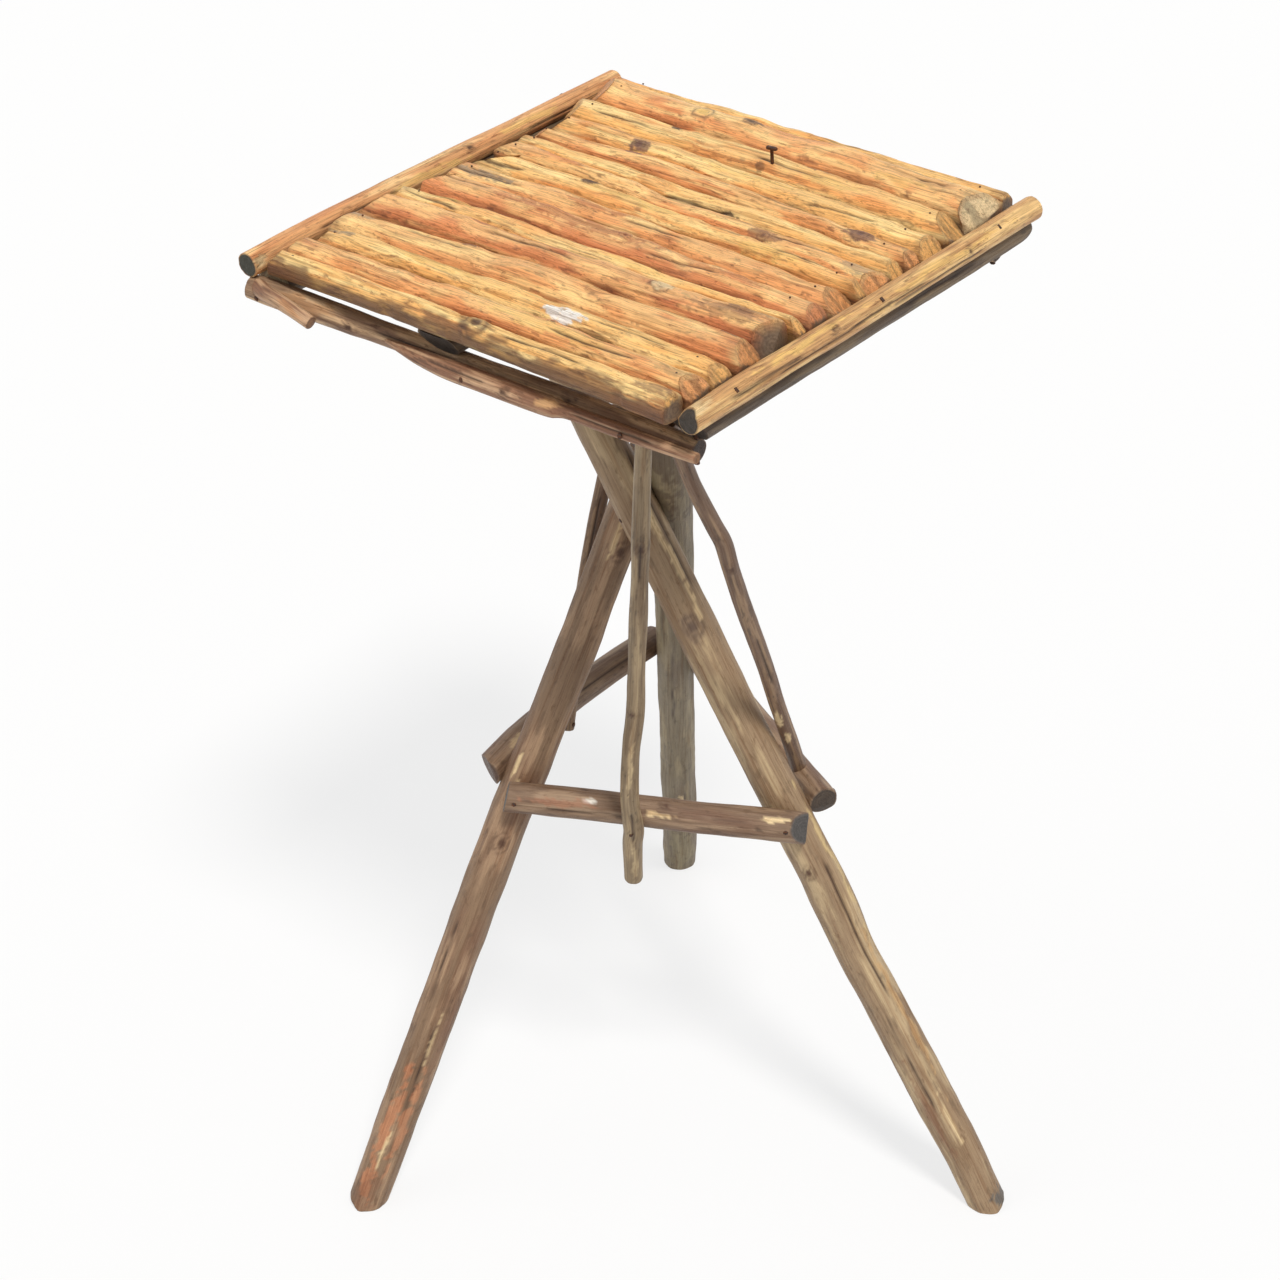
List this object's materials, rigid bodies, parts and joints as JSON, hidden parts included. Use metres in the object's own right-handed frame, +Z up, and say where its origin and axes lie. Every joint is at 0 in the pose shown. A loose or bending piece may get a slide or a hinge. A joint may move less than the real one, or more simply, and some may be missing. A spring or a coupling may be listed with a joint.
{
  "type": "rustic side table",
  "caption": "Small rustic side table: split-pole slats on bearers, carried by splayed pole legs that cross in a notched hub, tied by stretchers and thin braces.",
  "frame": {"origin": "on the floor, under the middle of the whole table's box", "axes": "+Z up, +X to the right along the slats, +Y to the back across them"},
  "size_m": [0.4369, 0.4532, 0.6988],
  "materials": {
    "slat_wood": "aged warm orange-brown split hickory, satin",
    "rail_wood": "peeled brown sapling, satin",
    "branch_wood": "reddish brown peeled branch, satin",
    "bearer_wood": "peeled brown pole, satin",
    "reddish_leg_wood": "peeled reddish brown pole with scars, satin",
    "yellow_leg_wood": "peeled yellow-tan pole with scars, satin",
    "grey_leg_wood": "peeled grey-brown pole with green cast, satin",
    "stretcher_wood": "reddish brown peeled pole with grey sawn ends",
    "brace_wood": "tan peeled branch, satin",
    "nail_iron": "dark rusted iron"
  },
  "bodies": {
    "root": {"slat_01": "slat_wood", "slat_02": "slat_wood", "slat_03": "slat_wood", "slat_04": "slat_wood", "slat_05": "slat_wood", "slat_06": "slat_wood", "slat_07": "slat_wood", "slat_08": "slat_wood", "slat_09": "slat_wood", "slat_10": "slat_wood", "slat_11": "slat_wood", "slat_12": "slat_wood", "slat_13": "slat_wood", "slat_14": "slat_wood", "slat_15": "slat_wood", "slat_16": "slat_wood", "left_edge_rail": "rail_wood", "right_edge_rail": "rail_wood", "front_rail": "rail_wood", "back_rail": "rail_wood", "front_branch": "branch_wood", "left_bearer": "bearer_wood", "middle_bearer": "bearer_wood", "right_bearer": "bearer_wood", "leg_left": "reddish_leg_wood", "leg_right": "yellow_leg_wood", "leg_rear": "grey_leg_wood", "front_stretcher": "stretcher_wood", "left_stretcher": "stretcher_wood", "right_stretcher": "stretcher_wood", "front_brace": "brace_wood", "left_brace": "brace_wood", "right_brace": "brace_wood", "edge_rail_nails": "nail_iron", "bearer_nails": "nail_iron", "branch_nails": "nail_iron", "hub_nails": "nail_iron", "stretcher_nails": "nail_iron", "brace_nails": "nail_iron", "proud_nail": "nail_iron"}
  },
  "joints": []
}
